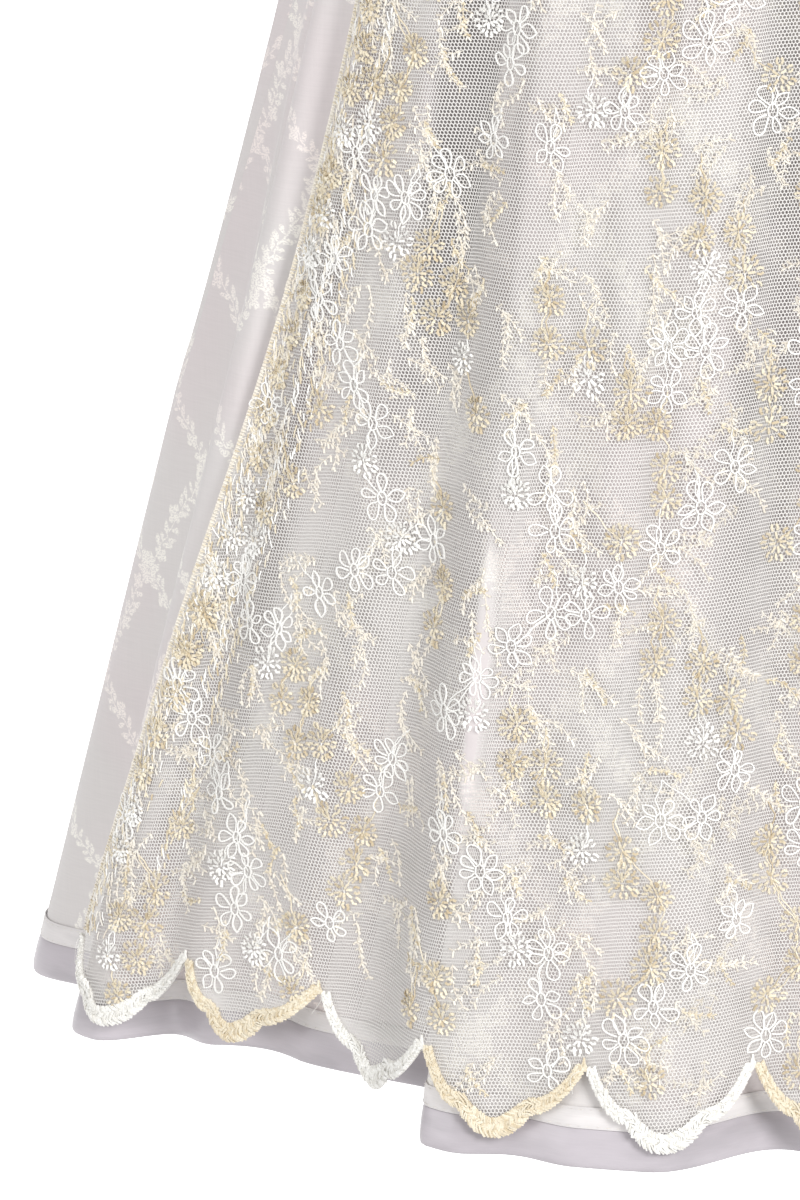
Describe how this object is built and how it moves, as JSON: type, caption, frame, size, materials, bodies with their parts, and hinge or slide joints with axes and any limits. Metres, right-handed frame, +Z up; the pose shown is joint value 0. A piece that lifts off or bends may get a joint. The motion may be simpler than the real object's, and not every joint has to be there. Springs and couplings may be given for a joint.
{
  "type": "girls dirndl dress, worn form",
  "caption": "Girls' dirndl dress in its worn, hollow form: gathered skirt with satin hem, scalloped embroidered tulle apron, plain buttoned bodice and a back bow",
  "frame": {"origin": "midway between the undersides of the two shoulder straps, where the wearer's shoulders hold the dress", "axes": "+Z up, -Y out of the front of the dress, +X the wearer's left"},
  "size_m": [0.5331, 0.4242, 0.8703],
  "materials": {
    "skirt_cloth": "pearl grey-lilac skirt cloth with a soft cream woven trellis of sprigs",
    "hem_satin": "grey-lilac satin, soft sheen",
    "cream_ribbon": "cream grosgrain ribbon, low sheen",
    "apron_lace": "fine ecru tulle with corded flowers in white, cream and pale gold thread",
    "scallop_thread": "dense satin stitch, white and pale gold by turns",
    "apron_band_satin": "cream satin, soft sheen",
    "bodice_cloth": "plain pearl grey-lilac cloth, matt to silky",
    "button_metal": "dull silver-coloured domed buttons"
  },
  "bodies": {
    "root": {"skirt_front": "skirt_cloth", "skirt_back": "skirt_cloth", "hem_band_front": "hem_satin", "hem_band_back": "hem_satin", "hem_ribbon_front": "cream_ribbon", "hem_ribbon_back": "cream_ribbon", "apron_panel": "apron_lace", "apron_scallop_edge": "scallop_thread", "apron_waistband": "apron_band_satin", "apron_tie_left": "apron_band_satin", "apron_tie_right": "apron_band_satin", "bow_knot": "apron_band_satin", "bow_loop_left": "apron_band_satin", "bow_loop_right": "apron_band_satin", "bow_tail_left": "apron_band_satin", "bow_tail_right": "apron_band_satin", "bodice_front_left": "bodice_cloth", "bodice_front_right": "bodice_cloth", "bodice_back": "bodice_cloth", "front_placket": "bodice_cloth", "button_1": "button_metal", "button_2": "button_metal", "button_3": "button_metal", "button_4": "button_metal", "button_5": "button_metal"}
  },
  "joints": []
}
